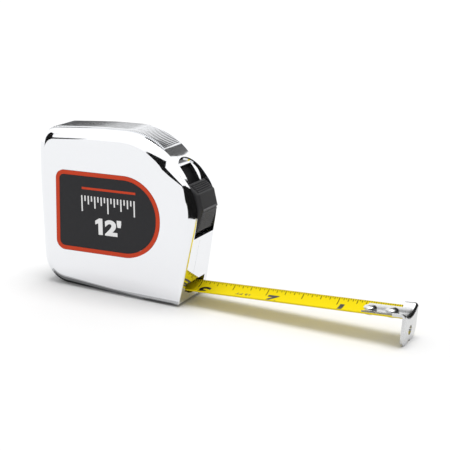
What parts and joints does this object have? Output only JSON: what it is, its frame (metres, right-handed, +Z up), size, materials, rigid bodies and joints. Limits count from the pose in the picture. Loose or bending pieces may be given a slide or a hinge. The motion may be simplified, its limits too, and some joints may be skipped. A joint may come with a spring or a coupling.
{
  "type": "tape measure",
  "caption": "Pocket tape measure: a rounded chrome case with a thumb lock, and a cupped yellow blade with an end hook that draws out and winds back on a sprung reel.",
  "frame": {"origin": "on the flat land of the case's underside, on the middle plane of the blade, below the reel", "axes": "+X towards the hook, +Z up from the surface the case stands on, +Y to the left seen along +X"},
  "size_m": [0.1354, 0.0198, 0.0575],
  "materials": {
    "chrome_case": "bright chrome plate on die-cast zinc",
    "hook_steel": "nickel-plated pressed steel",
    "spring_steel": "blued spring steel",
    "lock_plastic": "fine matte moulded ABS",
    "black_plastic": "moulded acetal",
    "label_charcoal": "printed panel, satin",
    "label_orange": "raised painted border",
    "blade_yellow": "yellow lacquer with black print on spring steel",
    "brake_rubber": "moulded rubber",
    "reel_plastic": "moulded nylon"
  },
  "bodies": {
    "case": {"case_shell_near": "chrome_case", "case_shell_far": "chrome_case", "label_border_near": "label_orange", "label_panel_near": "label_charcoal", "label_border_far": "label_orange", "label_panel_far": "label_charcoal", "case_screw_1": "hook_steel", "case_screw_2": "hook_steel", "case_screw_3": "hook_steel", "mouth_guide": "black_plastic", "reel_post": "hook_steel", "brake_pin": "hook_steel"},
    "reel": {"reel_drum": "reel_plastic", "reel_cover": "reel_plastic", "blade_coil": "blade_yellow", "return_spring": "spring_steel"},
    "blade": {"blade_tip": "blade_yellow", "blade_feed": "blade_yellow", "rivet_front": "hook_steel", "rivet_rear": "hook_steel"},
    "hook": {"end_hook": "hook_steel"},
    "lock": {"lock_button": "lock_plastic", "lock_slider": "black_plastic"},
    "brake": {"brake_lever": "black_plastic", "brake_pad": "brake_rubber"}
  },
  "joints": [
    {"name": "blade_slide", "type": "slide", "parent": "case", "child": "blade", "axis": [0.9983, 0, 0.0587], "range_m": [-0.076, 3.5814], "deforming": ["blade_feed"]},
    {"name": "reel_spin", "type": "hinge", "parent": "case", "child": "reel", "pos_m": [-0.001, 0, 0.0266], "axis": [0, 1, 0], "continuous": true},
    {"name": "hook_play", "type": "slide", "parent": "blade", "child": "hook", "axis": [0.9983, 0, 0.0587], "range_m": [-0.0004, 0.0004]},
    {"name": "lock_slide", "type": "hinge", "parent": "case", "child": "lock", "pos_m": [0.0061, 0, 0.0314], "axis": [0, -1, 0], "range_deg": [0, 16]},
    {"name": "brake_release", "type": "hinge", "parent": "case", "child": "brake", "pos_m": [0.021, 0, 0.0115], "axis": [0, 1, 0], "range_deg": [0, 2]}
  ],
  "couplings": [
    {"joint": "reel_spin", "follows": "blade_slide", "rad_per_m": -48.5},
    {"joint": "brake_release", "follows": "lock_slide", "ratio": 0.125}
  ]
}
